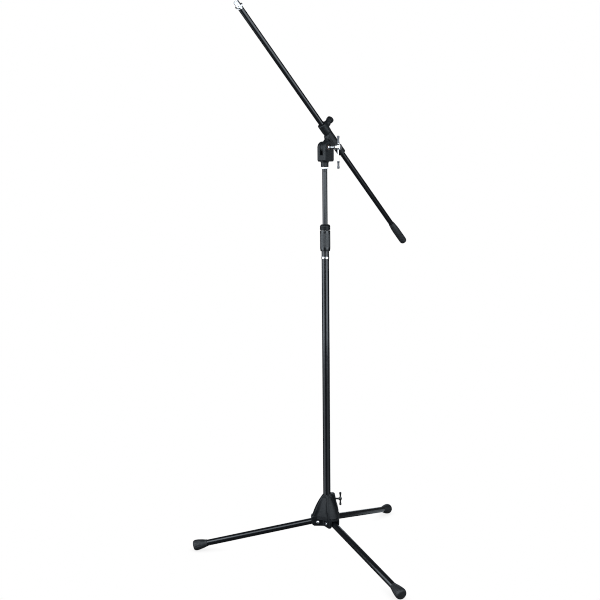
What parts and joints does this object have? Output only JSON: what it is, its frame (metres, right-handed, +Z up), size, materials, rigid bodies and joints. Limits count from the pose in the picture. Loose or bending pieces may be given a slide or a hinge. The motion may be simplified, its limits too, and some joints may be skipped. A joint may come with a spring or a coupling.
{
  "type": "boom microphone stand",
  "caption": "Folding tripod microphone stand with a telescopic column, a tilting clamp and a sliding boom arm that ends in a microphone thread.",
  "frame": {"origin": "centre of the bounding box's footprint, on the floor that the three feet stand on", "axes": "+Z up along the column; one leg points to -X and the other two to +X, 60 degrees either side; the boom rises towards -X and -Y"},
  "size_m": [0.6924, 0.7494, 1.6565],
  "materials": {
    "black_paint": "satin black enamel",
    "black_casting": "satin black paint on a casting",
    "black_plastic": "fine grained black plastic",
    "clutch_rubber": "ribbed black rubberised plastic",
    "black_steel": "blackened steel",
    "rubber": "matt black rubber",
    "chrome": "polished chrome",
    "dark_nickel": "dark nickel plate",
    "zinc": "bright zinc plate",
    "brass": "bare brass",
    "white_plastic": "natural nylon",
    "fibre": "pressed friction fibre"
  },
  "bodies": {
    "base": {"hub_body": "black_plastic", "leg_hinge_bolt_left": "zinc", "leg_hinge_bolt_front": "zinc", "leg_hinge_bolt_back": "zinc", "leg_hinge_nut_left": "zinc", "leg_hinge_nut_front": "zinc", "leg_hinge_nut_back": "zinc"},
    "leg_left": {"leg_tube_left": "black_paint", "leg_plug_left": "black_plastic", "foot_left": "rubber"},
    "leg_front": {"leg_tube_front": "black_paint", "leg_plug_front": "black_plastic", "foot_front": "rubber"},
    "leg_back": {"leg_tube_back": "black_paint", "leg_plug_back": "black_plastic", "foot_back": "rubber"},
    "hub_bolt_pad": {"hub_pressure_pad": "brass"},
    "hub_bolt": {"hub_clamp_screw": "black_steel", "hub_clamp_handle": "black_steel"},
    "lower_column": {"lower_tube": "black_paint", "lower_tube_plug": "black_plastic", "lower_tube_trim_ring": "zinc", "clutch_threaded_bush": "black_plastic", "clutch_collet": "white_plastic"},
    "clutch": {"clutch_grip": "clutch_rubber", "clutch_cap": "black_plastic"},
    "guide_bush": {"upper_tube_guide_bush": "white_plastic"},
    "upper_column": {"upper_tube": "black_paint", "upper_tube_keeper": "black_plastic", "upper_tube_stud": "black_steel"},
    "lock_ring": {"lock_ring": "chrome"},
    "tilter": {"tilter_yoke": "black_casting", "friction_disc_left": "fibre", "friction_disc_right": "fibre"},
    "tilt_washer": {"tilt_bolt_washer": "brass"},
    "tilt_bolt": {"tilt_bolt": "chrome"},
    "tilt_bar": {"tilt_bar": "chrome", "tilt_bar_lower_end": "dark_nickel", "tilt_bar_upper_end": "dark_nickel"},
    "boom_clamp": {"boom_clamp": "black_casting"},
    "clamp_liner": {"clamp_liner": "black_plastic"},
    "boom": {"boom_tube": "black_paint", "boom_tip_thread": "chrome", "boom_tail_grip": "rubber"},
    "boom_pad": {"boom_pressure_pad": "brass"},
    "boom_knob": {"boom_knob": "black_plastic", "boom_knob_screw": "zinc"}
  },
  "joints": [
    {"name": "leg_fold_left", "type": "hinge", "parent": "base", "child": "leg_left", "pos_m": [0.0533, 0, 0.0983], "axis": [0, -1, 0], "range_deg": [0, 77]},
    {"name": "leg_fold_front", "type": "hinge", "parent": "base", "child": "leg_front", "pos_m": [0.09575, -0.02451, 0.0983], "axis": [0.866, 0.5, 0], "range_deg": [0, 77]},
    {"name": "leg_fold_back", "type": "hinge", "parent": "base", "child": "leg_back", "pos_m": [0.09575, 0.02451, 0.0983], "axis": [-0.866, 0.5, 0], "range_deg": [0, 77]},
    {"name": "hub_pad_slide", "type": "slide", "parent": "base", "child": "hub_bolt_pad", "axis": [1, 0, 0], "range_m": [0, 0.0015]},
    {"name": "hub_bolt_turn", "type": "hinge", "parent": "hub_bolt_pad", "child": "hub_bolt", "pos_m": [0.1239, 0, 0.1694], "axis": [1, 0, 0], "range_deg": [0, 540]},
    {"name": "column_slide", "type": "slide", "parent": "base", "child": "lower_column", "axis": [0, 0, 1], "range_m": [-0.08, 0.06]},
    {"name": "clutch_turn", "type": "hinge", "parent": "lower_column", "child": "clutch", "pos_m": [0.0816, 0, 0.99], "axis": [0, 0, 1], "range_deg": [0, 120]},
    {"name": "upper_tube_slide", "type": "slide", "parent": "lower_column", "child": "guide_bush", "axis": [0, 0, 1], "range_m": [-0.165, 0.39]},
    {"name": "upper_tube_turn", "type": "hinge", "parent": "guide_bush", "child": "upper_column", "pos_m": [0.0816, 0, 0.7], "axis": [0, 0, 1], "continuous": true},
    {"name": "lock_ring_turn", "type": "hinge", "parent": "upper_column", "child": "lock_ring", "pos_m": [0.0816, 0, 1.202], "axis": [0, 0, 1], "range_deg": [-60, 0]},
    {"name": "tilter_turn", "type": "hinge", "parent": "upper_column", "child": "tilter", "pos_m": [0.0816, 0, 1.21], "axis": [0, 0, 1], "range_deg": [-180, 180]},
    {"name": "tilt_washer_slide", "type": "slide", "parent": "tilter", "child": "tilt_washer", "axis": [0.6984, -0.7157, 0], "range_m": [0, 0.0015]},
    {"name": "tilt_bolt_turn", "type": "hinge", "parent": "tilt_washer", "child": "tilt_bolt", "pos_m": [0.08446, 0.00279, 1.263], "axis": [0.6984, -0.7157, 0], "range_deg": [0, 540]},
    {"name": "tilt_bar_slide", "type": "slide", "parent": "tilt_bolt", "child": "tilt_bar", "axis": [0, 0, 1], "range_m": [0, 0.032]},
    {"name": "boom_tilt", "type": "hinge", "parent": "tilter", "child": "boom_clamp", "pos_m": [0.08446, 0.00279, 1.263], "axis": [-0.6984, 0.7157, 0], "range_deg": [-134.8, 45.2]},
    {"name": "boom_turn", "type": "hinge", "parent": "boom_clamp", "child": "clamp_liner", "pos_m": [0.10378, 0.02164, 1.29018], "axis": [-0.5078, -0.4956, 0.7046], "continuous": true},
    {"name": "boom_slide", "type": "slide", "parent": "clamp_liner", "child": "boom", "axis": [-0.5078, -0.4956, 0.7046], "range_m": [-0.43, 0.313]},
    {"name": "boom_pad_slide", "type": "slide", "parent": "boom_clamp", "child": "boom_pad", "axis": [0.5043, 0.4921, 0.7096], "range_m": [0, 0.0015]},
    {"name": "boom_knob_turn", "type": "hinge", "parent": "boom_pad", "child": "boom_knob", "pos_m": [0.09666, 0.01469, 1.34473], "axis": [0.5043, 0.4921, 0.7096], "range_deg": [0, 540]}
  ],
  "couplings": [
    {"joint": "hub_pad_slide", "follows": "hub_bolt_turn", "m_per_rad": 0.000159},
    {"joint": "tilt_washer_slide", "follows": "tilt_bolt_turn", "m_per_rad": 0.000159},
    {"joint": "boom_pad_slide", "follows": "boom_knob_turn", "m_per_rad": 0.000159}
  ]
}
